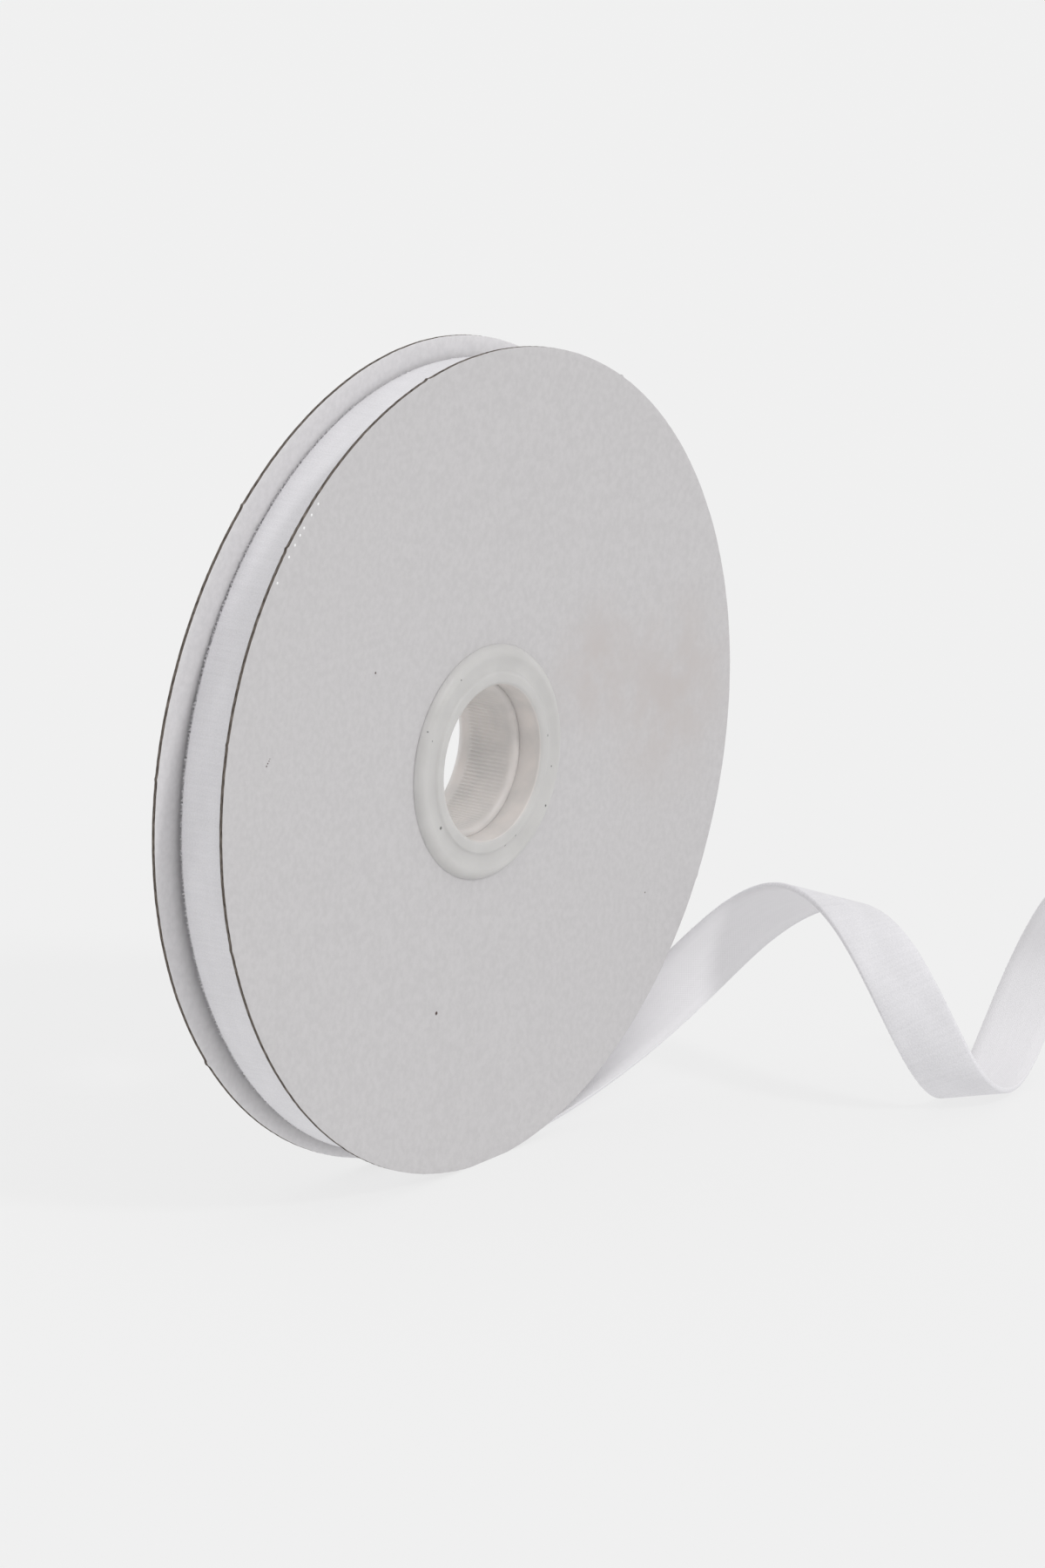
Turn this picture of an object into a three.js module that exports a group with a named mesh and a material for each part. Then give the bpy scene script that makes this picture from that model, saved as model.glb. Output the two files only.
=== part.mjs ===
// A roll of white velvet ribbon on a flanged card spool, standing on its rims.
//
// Two die-cut card discs are held apart by a plastic hub in two halves. The front half has a
// smooth sleeve and the back half a narrower tube that plugs into it, and both have a round
// flange outside the card. The ribbon is wound flat between the discs, pile outwards. Its loose
// end leaves the bottom of the roll between the discs, keeps its curl, and goes off to the right
// in an open spring form that touches the ground once.
//
// Millimetres, +Z up. +X runs along the discs towards the loose end, and -Y is the way the front
// disc faces. The origin is the middle of the front disc's foot, on the ground.

import * as THREE from 'three';

// Ribbon
const RIBBON_WIDTH = 10;
const RIBBON_THICKNESS = 1;

// Card discs
const BOARD_DIAMETER = 126;
const BOARD_THICKNESS = 0.6;
const BOARD_SPACING = 12;
const FOOT_LENGTH = 10;
const BOARD_ARC_STEPS = 60;

// Hub: HUB_PROFILE gives each ring's radius and its height over the flange's underside
const FLANGE_RADIUS = 18;
const BORE_RADIUS = 12;
const SLEEVE_WALL = 1.1;
const TUBE_WALL = 0.9;
const TUBE_SETBACK = 3.1;
const HUB_STEPS = 56;
const HUB_PROFILE = [
  { ring: 'rim foot', radius: FLANGE_RADIUS - 0.2, height: 0 },
  { ring: 'rim', radius: FLANGE_RADIUS, height: 0.3 },
  { ring: 'bead side', radius: 17.7, height: 0.8 },
  { ring: 'bead outer crown', radius: 17.1, height: 1.1 },
  { ring: 'bead inner crown', radius: 16.4, height: 1.1 },
  { ring: 'bead foot', radius: 15.7, height: 0.6 },
  { ring: 'groove', radius: 14.8, height: 0.5 },
  { ring: 'ring foot', radius: 13.9, height: 0.6 },
  { ring: 'ring outer edge', radius: 13.6, height: 1.1 },
  { ring: 'ring inner edge', radius: 12.5, height: 1.1 },
  { ring: 'mouth', radius: BORE_RADIUS, height: 0.8 },
];

// Roll: its shoulders are rounded because the pile stands out past the ribbon's edge. It lies
// nearer the front disc, and its outer turns are slack, so its outside hangs below the spool's axis.
const WINDING_RADIUS = 59.4;
const WINDING_SAG = 1;
const WINDING_FORWARD = 0.5;
const SHOULDER_RADIUS = 0.9;
const SHOULDER_STEPS = 3;
const WINDING_STEPS = 96;

// Pieces are this far apart
const GAP = 0.3;

const MM_PER_CM = 10;

// Loose end: one row for each 20 mm of ribbon. curl is how far the ribbon bends, in degrees for
// each centimetre. slant is how far the straight line across it leans ahead for each millimetre
// out from the middle, which is what turns the curl into an open spring.
const ROW_SPACING = 20;
const CURL_ROWS = [
  { where: 'under the roll', curl: 6.4, slant: 0 },
  { where: 'leaving the discs', curl: 6.8, slant: 0.8 },
  { where: 'past the discs', curl: 4.4, slant: 1.38 },
  { where: 'first rise', curl: 8.4, slant: 1.26 },
  { where: 'nearing the first crest', curl: 36.4, slant: 0.4 },
  { where: 'over the crest', curl: 25.8, slant: 0.9 },
  { where: 'fall to the front', curl: 24.8, slant: 0.76 },
  { where: 'nearing the ground', curl: 39.8, slant: 0.3 },
  { where: 'second rise', curl: 35.6, slant: 0.6 },
  { where: 'nearing the second crest', curl: 23.8, slant: 0.26 },
  { where: 'plain cut end', curl: 24.0, slant: 0.6 },
];
const TAIL_STEPS_PER_ROW = 10;
const TAIL_START_ANGLE = 9.5;

// Worked out from the sizes above
const boardRadius = BOARD_DIAMETER / 2;
const axisHeight = Math.sqrt(boardRadius ** 2 - (FOOT_LENGTH / 2) ** 2);
const middleY = (BOARD_THICKNESS + BOARD_SPACING) / 2;
const windingY = middleY - WINDING_FORWARD;
const windingHeight = axisHeight - WINDING_SAG;
const sleeveOuterRadius = BORE_RADIUS + SLEEVE_WALL;
const boreClearRadius = sleeveOuterRadius + GAP;
const tubeOuterRadius = BORE_RADIUS - GAP;
const tubeInnerRadius = tubeOuterRadius - TUBE_WALL;
const flangeUnderside = BOARD_SPACING / 2 + BOARD_THICKNESS + GAP;

const FRONT = -1;
const BACK = 1;

const cardMaterial = new THREE.MeshStandardMaterial({ color: 0xc8c6c8, roughness: 0.9, metalness: 0 });
const plasticMaterial = new THREE.MeshStandardMaterial({ color: 0xdcdcd8, roughness: 0.35, metalness: 0 });
const velvetMaterial = new THREE.MeshStandardMaterial({ color: 0xe2e0e4, roughness: 1, metalness: 0 });

function named(name, geometry, material) {
  const mesh = new THREE.Mesh(geometry, material);
  mesh.name = name;
  return mesh;
}

// A disc with a hub hole and a short flat foot, lying between yFront and yFront + BOARD_THICKNESS.
function boardGeometry(yFront) {
  const footAngle = Math.asin(FOOT_LENGTH / 2 / boardRadius);
  const down = -Math.PI / 2;
  const outline = new THREE.Shape();
  outline.absarc(0, 0, boardRadius, down + footAngle, down - footAngle + 2 * Math.PI, false);
  outline.closePath();
  const hole = new THREE.Path();
  hole.absarc(0, 0, boreClearRadius, 0, 2 * Math.PI, true);
  outline.holes.push(hole);
  const geometry = new THREE.ExtrudeGeometry(outline, {
    depth: BOARD_THICKNESS,
    bevelEnabled: false,
    curveSegments: BOARD_ARC_STEPS,
  });
  geometry.rotateX(Math.PI / 2);
  geometry.translate(0, yFront + BOARD_THICKNESS, axisHeight);
  return geometry;
}

// A ring turned about the spool's axis. profile is a closed outline of [radius, y] pairs, in
// either order, and the outline is put the right way round before it is turned.
function turnedGeometry(profile, steps) {
  const points = profile.map(([radius, y]) => new THREE.Vector2(radius, y));
  if (THREE.ShapeUtils.area(points) < 0) points.reverse();
  points.push(points[0].clone());
  const geometry = new THREE.LatheGeometry(points, steps);
  geometry.translate(0, 0, axisHeight);
  return geometry;
}

// Half a hub: a flange outside one disc and a barrel that runs in through the hole. out is the
// distance from the spool's middle plane, towards the half's own side. Where the barrel is as
// wide inside as the mouth, the mouth's edge is stated once.
function hubHalfGeometry(side, barrelOuter, barrelInner, barrelEnd) {
  const place = (radius, out) => [radius, middleY + side * out];
  const face = HUB_PROFILE.map((row) => place(row.radius, flangeUnderside + row.height));
  const mouthOut = flangeUnderside + HUB_PROFILE[HUB_PROFILE.length - 1].height;
  const profile = [
    place(barrelOuter, barrelEnd),
    place(barrelOuter, flangeUnderside),
    ...face,
    place(barrelInner, mouthOut - (BORE_RADIUS - barrelInner)),
    place(barrelInner, barrelEnd),
  ].filter(([radius, y], i, all) => i === 0 || radius !== all[i - 1][0] || y !== all[i - 1][1]);
  return turnedGeometry(profile, HUB_STEPS);
}

// The wound ribbon: a thick ring with rounded outer shoulders. It is turned about the spool's
// axis, and then its outer rings are lowered.
function windingGeometry() {
  const halfWidth = RIBBON_WIDTH / 2;
  const profile = [[boreClearRadius, windingY + halfWidth], [boreClearRadius, windingY - halfWidth]];
  for (const side of [FRONT, BACK]) {
    for (let i = 0; i <= SHOULDER_STEPS; i++) {
      const step = side === FRONT ? i : SHOULDER_STEPS - i;
      const angle = (step / SHOULDER_STEPS) * (Math.PI / 2);
      profile.push([
        WINDING_RADIUS - SHOULDER_RADIUS * (1 - Math.sin(angle)),
        windingY + side * (halfWidth - SHOULDER_RADIUS * (1 - Math.cos(angle))),
      ]);
    }
  }
  const geometry = turnedGeometry(profile, WINDING_STEPS);
  const position = geometry.getAttribute('position');
  for (let i = 0; i < position.count; i++) {
    const height = position.getZ(i);
    const outer = Math.hypot(position.getX(i), height - axisHeight) > WINDING_RADIUS / 2;
    if (outer) position.setZ(i, height - WINDING_SAG);
  }
  return geometry;
}

// The table's curl, in radians for each millimetre, and slant at a distance along the ribbon.
function curlAt(distance) {
  const place = Math.min(distance / ROW_SPACING, CURL_ROWS.length - 1);
  const row = Math.min(Math.floor(place), CURL_ROWS.length - 2);
  const mix = place - row;
  const between = (key) => THREE.MathUtils.lerp(CURL_ROWS[row][key], CURL_ROWS[row + 1][key], mix);
  return { bend: THREE.MathUtils.degToRad(between('curl')) / MM_PER_CM, slant: between('slant') };
}

// Stations along the middle of the loose end. Each keeps its point, the way along the ribbon,
// the line across it that stays straight, and the side that faces into the curl.
function tailStations() {
  const startRadius = WINDING_RADIUS + GAP + RIBBON_THICKNESS / 2;
  const angle = THREE.MathUtils.degToRad(-TAIL_START_ANGLE);
  const point = new THREE.Vector3(
    startRadius * Math.sin(angle),
    windingY,
    windingHeight - startRadius * Math.cos(angle),
  );
  const along = new THREE.Vector3(Math.cos(angle), 0, Math.sin(angle));
  const across = new THREE.Vector3(0, -1, 0);
  const step = ROW_SPACING / TAIL_STEPS_PER_ROW;
  const count = (CURL_ROWS.length - 1) * TAIL_STEPS_PER_ROW;
  const stations = [];
  for (let i = 0; i <= count; i++) {
    const { slant } = curlAt(i * step);
    stations.push({
      point: point.clone(),
      ruling: across.clone().addScaledVector(along, slant),
      inward: across.clone().cross(along),
    });
    const { bend, slant: lean } = curlAt((i + 0.5) * step);
    const turn = along.clone().multiplyScalar(bend * lean).addScaledVector(across, bend);
    const amount = turn.length() * step;
    turn.normalize();
    point.addScaledVector(along.clone().applyAxisAngle(turn, amount / 2), step);
    along.applyAxisAngle(turn, amount);
    across.applyAxisAngle(turn, amount);
  }
  return stations;
}

// The loose end as a closed strip: four corners at each station, and a cap at each end.
function tailGeometry() {
  const corners = [[1, 1], [1, -1], [-1, -1], [-1, 1]];
  const stations = tailStations();
  const positions = [];
  for (const { point, ruling, inward } of stations) {
    for (const [out, up] of corners) {
      const corner = point.clone()
        .addScaledVector(ruling, (out * RIBBON_WIDTH) / 2)
        .addScaledVector(inward, (up * RIBBON_THICKNESS) / 2);
      positions.push(corner.x, corner.y, corner.z);
    }
  }
  const faces = [];
  const around = corners.length;
  for (let i = 0; i < stations.length - 1; i++) {
    for (let side = 0; side < around; side++) {
      const a = around * i + side;
      const b = around * i + ((side + 1) % around);
      faces.push(a, b, a + around, b, b + around, a + around);
    }
  }
  const last = around * (stations.length - 1);
  faces.push(0, 2, 1, 0, 3, 2, last, last + 1, last + 2, last, last + 2, last + 3);
  const geometry = new THREE.BufferGeometry();
  geometry.setAttribute('position', new THREE.Float32BufferAttribute(positions, 3));
  geometry.setIndex(faces);
  return geometry;
}

const spool = new THREE.Group();
spool.add(named('board_front', boardGeometry(-BOARD_THICKNESS / 2), cardMaterial));
spool.add(named('board_back', boardGeometry(BOARD_THICKNESS / 2 + BOARD_SPACING), cardMaterial));
spool.add(named(
  'hub_front',
  hubHalfGeometry(FRONT, sleeveOuterRadius, BORE_RADIUS, -(flangeUnderside - GAP)),
  plasticMaterial,
));
spool.add(named(
  'hub_back',
  hubHalfGeometry(BACK, tubeOuterRadius, tubeInnerRadius, -(flangeUnderside - TUBE_SETBACK)),
  plasticMaterial,
));

const ribbon = new THREE.Group();
ribbon.add(named('winding', windingGeometry(), velvetMaterial));
ribbon.add(named('ribbon_tail', tailGeometry(), velvetMaterial));

const roll = new THREE.Group();
roll.add(spool, ribbon);

export default roll;
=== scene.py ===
"""Looks of a roll of white velvet ribbon on a flanged card spool.

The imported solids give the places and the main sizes. On them this script builds the warped card
discs, the milky plastic hub with its ribbed tube, the wound ribbon turn by turn, the curling
loose end and the fringe of pile along the ribbon's edges, each with a procedural finish.

Angles round the spool are measured from its lowest point towards +X, so a point of radius r at
angle a lies r sin a along X and r cos a below the axis. Lengths are in metres.
"""

import logging
import math
from dataclasses import dataclass
from enum import Enum

import bpy
import numpy as np
from mathutils import Matrix, Vector


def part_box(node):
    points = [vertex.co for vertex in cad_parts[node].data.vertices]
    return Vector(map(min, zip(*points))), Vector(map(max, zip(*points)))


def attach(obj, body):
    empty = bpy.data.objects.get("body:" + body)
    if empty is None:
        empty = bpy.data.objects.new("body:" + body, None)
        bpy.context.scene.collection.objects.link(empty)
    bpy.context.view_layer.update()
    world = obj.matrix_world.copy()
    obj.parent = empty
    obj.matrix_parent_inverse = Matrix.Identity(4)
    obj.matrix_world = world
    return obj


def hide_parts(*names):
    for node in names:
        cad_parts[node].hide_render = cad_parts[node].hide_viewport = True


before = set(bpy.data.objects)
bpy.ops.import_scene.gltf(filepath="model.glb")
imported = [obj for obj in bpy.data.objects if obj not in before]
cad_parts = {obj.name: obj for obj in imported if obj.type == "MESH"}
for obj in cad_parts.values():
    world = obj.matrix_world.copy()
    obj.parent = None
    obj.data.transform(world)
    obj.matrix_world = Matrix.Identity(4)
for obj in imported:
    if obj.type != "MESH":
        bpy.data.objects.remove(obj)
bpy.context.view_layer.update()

log = logging.getLogger("ribbon_roll")

MM = 0.001
TURN = 2 * math.pi
BODY = "root"

Span = tuple[float, float]
Colour = tuple[float, float, float, float]
Socket = bpy.types.NodeSocket
Value = float | tuple[float, ...] | Vector | Socket
Sockets = dict[str | int, Value]


class Slot(str, Enum):
    """The record's material slots."""

    CARD = "card"
    PLASTIC = "hub_plastic"
    VELVET = "velvet"


class Facing(Enum):
    """The way a hub half faces, as its sign along Y."""

    FRONT = -1
    BACK = 1


# Small tools for arrays


def unit(vectors: np.ndarray) -> np.ndarray:
    """Each vector divided by its length."""
    return vectors / np.linalg.norm(vectors, axis=-1, keepdims=True)


def ease(x: np.ndarray) -> np.ndarray:
    """The smooth step 3x^2 - 2x^3, with x held between 0 and 1."""
    x = np.clip(x, 0.0, 1.0)
    return x * x * (3 - 2 * x)


def travelled(x: np.ndarray, y: np.ndarray) -> np.ndarray:
    """The distance along a line of points from its first point to each of them."""
    return np.append(0.0, np.cumsum(np.hypot(np.diff(x), np.diff(y))))


def joined(stretches: tuple[tuple[np.ndarray, ...], ...]) -> tuple[np.ndarray, ...]:
    """Stretches of an outline joined into one array for each of their columns."""
    return tuple(np.concatenate(column) for column in zip(*stretches))


def smooth_noise(places: np.ndarray, wavelength: float, rng: np.random.Generator) -> np.ndarray:
    """Smooth random values between -1 and 1 along a line.

    Random values stand a wavelength apart, and the smooth step blends each pair.

    Args:
        places: distances along the line.
        wavelength: distance between the random values.
        rng: source of the random values.

    Returns:
        One value for each place.
    """
    cells = (places - places.min()) / wavelength
    values = rng.uniform(-1, 1, int(cells.max()) + 2)
    whole = np.floor(cells).astype(int)
    mix = ease(cells - whole)
    return values[whole] * (1 - mix) + values[whole + 1] * mix


def around(
    radius: np.ndarray | float, angle: np.ndarray | float, y: np.ndarray | float, axis_height: float
) -> np.ndarray:
    """Points round the spool: (r sin a, y, axis height - r cos a).

    Args:
        radius: distance from the spool's axis.
        angle: angle from the lowest point towards +X, in radians.
        y: place along the axis.
        axis_height: height of the axis above the ground.

    Returns:
        The points, with the arrays' common shape and a last axis of 3.
    """
    radius, angle, y = np.broadcast_arrays(radius, angle, y)
    return np.stack([radius * np.sin(angle), y, axis_height - radius * np.cos(angle)], axis=-1)


def round_through(corners: np.ndarray, steps: int) -> np.ndarray:
    """A smooth line through points, by the Catmull-Rom rule, with its two ends kept straight.

    Between points b and c, with a before and d after them, and t from 0 to 1, it is
    (2b + (c - a)t + (2a - 5b + 4c - d)t^2 + (3b - 3c + d - a)t^3) / 2.

    Args:
        corners: the points, n by 2.
        steps: steps between one point and the next.

    Returns:
        The points of the line.
    """
    before = np.concatenate([2 * corners[:1] - corners[1:2], corners[:-2]])
    after = np.concatenate([corners[2:], 2 * corners[-1:] - corners[-2:-1]])
    a, b, c, d = (points[:, None] for points in (before, corners[:-1], corners[1:], after))
    t = np.linspace(0, 1, steps, endpoint=False)[None, :, None]
    curved = (2 * a - 5 * b + 4 * c - d) * t**2 + (3 * b - 3 * c + d - a) * t**3
    line = (2 * b + (c - a) * t + curved) / 2
    return np.concatenate([line.reshape(-1, 2), corners[-1:]])


def turned(vector: np.ndarray, axis: np.ndarray, angle: float) -> np.ndarray:
    """A vector turned about a unit axis: v cos a + (k x v) sin a + k (k.v)(1 - cos a)."""
    c, s = math.cos(angle), math.sin(angle)
    return vector * c + np.cross(axis, vector) * s + axis * (axis @ vector) * (1 - c)


# Meshes


@dataclass
class Grid:
    """A surface worked out on a grid: rows follow one another, and each row closes on itself.

    u and v go one column further than the points, and one row further where the rows close as
    well, so that the seam has a uv of its own.
    """

    points: np.ndarray
    u: np.ndarray
    v: np.ndarray
    materials: np.ndarray
    close_rows: bool = False
    flip: bool = False
    cap_material: int = 0

    def arrays(self) -> tuple[np.ndarray, np.ndarray, np.ndarray, np.ndarray]:
        """Works out the quads between the points.

        Returns:
            The points, n by 3, the quads, m by 4, the uv of their corners, m by 4 by 2, and
            the material of each quad.
        """
        rows, columns = self.points.shape[:2]
        row_steps = rows if self.close_rows else rows - 1
        i, j = np.meshgrid(np.arange(row_steps), np.arange(columns), indexing="ij")
        i, j = i.ravel(), j.ravel()
        corners = np.stack([i, i + 1, i + 1, i], axis=1), np.stack([j, j, j + 1, j + 1], axis=1)
        quads = (corners[0] % rows) * columns + corners[1] % columns
        shape = (row_steps + 1, columns + 1)
        uv = np.stack([np.broadcast_to(m, shape)[corners] for m in (self.u, self.v)], axis=-1)
        if self.flip:
            quads, uv = quads[:, ::-1], uv[:, ::-1]
        return self.points.reshape(-1, 3), quads, uv, self.materials[j]

    def caps(self) -> np.ndarray:
        """Works out the two end faces that close a strip whose rows don't close.

        Returns:
            The vertices of each face, 2 by columns, or 0 by columns where the rows close.
        """
        rows, columns = self.points.shape[:2]
        if self.close_rows:
            return np.zeros((0, columns), dtype=int)
        first = np.arange(columns)
        last = first + (rows - 1) * columns
        return np.stack([first[::-1], last] if self.flip else [first, last[::-1]])


def make_piece(
    name: str, node: str, grid: Grid, finishes: list[bpy.types.Material]
) -> bpy.types.Object:
    """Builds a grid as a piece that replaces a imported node.

    Args:
        name: name of the piece.
        node: name of the node.
        grid: its surface.
        finishes: its materials, in the order that the grid's numbers mean.

    Returns:
        The object, at the origin, with its place in its mesh.
    """
    points, quads, uv, materials = grid.arrays()
    caps = grid.caps()
    piece = mesh_object(
        name,
        points,
        loops=np.concatenate([quads.ravel(), caps.ravel()]),
        sizes=np.concatenate([np.full(len(quads), 4), np.full(len(caps), caps.shape[1])]),
        corner_uv=np.concatenate([uv.reshape(-1, 2), np.zeros((caps.size, 2))]),
        kinds=np.concatenate([materials, np.full(len(caps), grid.cap_material)]),
        finishes=finishes,
    )
    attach(piece, BODY)
    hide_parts(node)
    return piece


def mesh_object(
    name: str,
    points: np.ndarray,
    loops: np.ndarray,
    sizes: np.ndarray,
    corner_uv: np.ndarray,
    kinds: np.ndarray,
    finishes: list[bpy.types.Material],
) -> bpy.types.Object:
    """Fills a mesh from whole arrays, links it to the scene and logs it.

    Args:
        name: name of the piece.
        points: vertices, n by 3.
        loops: vertex number of each face corner, one face after another.
        sizes: number of corners of each face.
        corner_uv: uv of each face corner.
        kinds: material number of each face.
        finishes: the materials.

    Returns:
        The new object.
    """
    mesh = bpy.data.meshes.new(name)
    mesh.vertices.add(len(points))
    mesh.vertices.foreach_set("co", points.astype(np.float32).ravel())
    mesh.loops.add(len(loops))
    mesh.loops.foreach_set("vertex_index", loops.astype(np.int32))
    mesh.polygons.add(len(sizes))
    starts = np.concatenate([[0], np.cumsum(sizes)[:-1]])
    mesh.polygons.foreach_set("loop_start", starts.astype(np.int32))
    mesh.polygons.foreach_set("loop_total", sizes.astype(np.int32))
    mesh.polygons.foreach_set("material_index", kinds.astype(np.int32))
    mesh.polygons.foreach_set("use_smooth", np.ones(len(sizes), dtype=bool))
    layer = mesh.uv_layers.new(name="UVMap")
    layer.data.foreach_set("uv", corner_uv.astype(np.float32).ravel())
    for finish in finishes:
        mesh.materials.append(finish)
    mesh.update(calc_edges=True)
    mesh.validate()
    piece = bpy.data.objects.new(name, mesh)
    bpy.context.scene.collection.objects.link(piece)
    log.info("%s: %d faces", name, len(mesh.polygons))
    return piece


# Shader tools


class Shader:
    """Adds and links the nodes of one node tree."""

    def __init__(self, tree: bpy.types.NodeTree) -> None:
        """Keeps the tree that nodes are added to."""
        self.tree = tree

    def fill(self, node: bpy.types.Node, sockets: Sockets) -> None:
        """Sets or links a node's inputs.

        Args:
            node: the node.
            sockets: value, or output socket to link, for each input by name or number.
        """
        for name, value in sockets.items():
            if isinstance(value, Socket):
                self.tree.links.new(value, node.inputs[name])
            else:
                node.inputs[name].default_value = value

    def add(self, kind: str, sockets: Sockets | None = None, **settings: object) -> bpy.types.Node:
        """Adds a node.

        Args:
            kind: the node's type, without its ShaderNode prefix where it has one.
            sockets: value, or output socket to link, for each input by name or number.
            settings: the node's own properties.

        Returns:
            The node.
        """
        prefix = "" if kind.startswith("NodeGroup") else "ShaderNode"
        node = self.tree.nodes.new(prefix + kind)
        for name, value in settings.items():
            setattr(node, name, value)
        self.fill(node, sockets or {})
        return node

    def group(self, made: bpy.types.NodeTree, sockets: Sockets) -> bpy.types.Node:
        """Places a node group, with its inputs set or linked."""
        return self.add("Group", sockets, node_tree=made)

    def place(self) -> Socket:
        """The piece's own coordinates."""
        return self.add("TexCoord").outputs["Object"]

    def uv(self) -> Socket:
        """The piece's own uv."""
        return self.add("UVMap", uv_map="UVMap").outputs["UV"]

    def math(self, operation: str, *values: Value, clamp: bool = False) -> Socket:
        """The output of a Math node on these values or sockets."""
        sockets = dict(enumerate(values))
        return self.add("Math", sockets, operation=operation, use_clamp=clamp).outputs[0]

    def vector_math(self, operation: str, *values: Value) -> bpy.types.Node:
        """A Vector Math node on these vectors or sockets."""
        return self.add("VectorMath", dict(enumerate(values)), operation=operation)

    def stretched(self, vector: Value, factors: tuple[float, float, float]) -> Socket:
        """A vector with each axis multiplied by its own factor."""
        return self.vector_math("MULTIPLY", vector, factors).outputs[0]

    def noise(
        self,
        vector: Value,
        scale: Value,
        detail: float,
        roughness: float = 0.5,
        distortion: float = 0.0,
    ) -> Socket:
        """The value of a Noise Texture, from 0 to 1 and mostly near a half.

        Args:
            vector: where the noise is read.
            scale: features for each metre.
            detail: number of finer layers.
            roughness: strength of each finer layer beside the one before.
            distortion: how far the pattern is bent.

        Returns:
            The value.
        """
        sockets = {"Vector": vector, "Scale": scale, "Detail": detail}
        sockets |= {"Roughness": roughness, "Distortion": distortion}
        return self.add("TexNoise", sockets).outputs["Fac"]

    def ramp(self, value: Value, low: Value, high: Value, start: float, end: float) -> Socket:
        """The smooth step of a value between low and high, mapped to start and end."""
        sockets = {"Value": value, "From Min": low, "From Max": high, "To Min": start, "To Max": end}
        return self.add("MapRange", sockets, interpolation_type="SMOOTHSTEP").outputs[0]

    def blend(self, factor: Value, first: Value, second: Value) -> Socket:
        """The colour that mixes two colours or sockets by a factor."""
        return self.add("Mix", {"Factor": factor, 6: first, 7: second}, data_type="RGBA").outputs[2]

    def shaded(self, factor: Socket, colour: Colour, depth: float) -> Socket:
        """A colour that goes from 1 - depth to 1 + depth of itself as the factor goes from 0 to 1."""
        return self.blend(factor, scaled(colour, 1 - depth), scaled(colour, 1 + depth))

    def bump(self, height: Socket, distance: float, strength: float) -> Socket:
        """The normal of a surface with this height."""
        sockets = {"Height": height, "Distance": distance, "Strength": strength}
        return self.add("Bump", sockets).outputs["Normal"]


def new_group(
    name: str, inputs: dict[str, str], outputs: dict[str, str]
) -> tuple[Shader, dict[str, Socket], bpy.types.Node]:
    """Starts a shader node group.

    Args:
        name: name of the group.
        inputs: socket type for each input's name.
        outputs: socket type for each output's name.

    Returns:
        The group's shader, its inputs by name, and the node that its outputs are filled in on.
    """
    tree = bpy.data.node_groups.new(name, "ShaderNodeTree")
    for socket, kind in inputs.items():
        tree.interface.new_socket(socket, in_out="INPUT", socket_type=kind)
    for socket, kind in outputs.items():
        tree.interface.new_socket(socket, in_out="OUTPUT", socket_type=kind)
    shader = Shader(tree)
    entry, leave = shader.add("NodeGroupInput"), shader.add("NodeGroupOutput")
    return shader, dict(entry.outputs.items()), leave


FLOAT = "NodeSocketFloat"
VECTOR = "NodeSocketVector"


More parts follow.
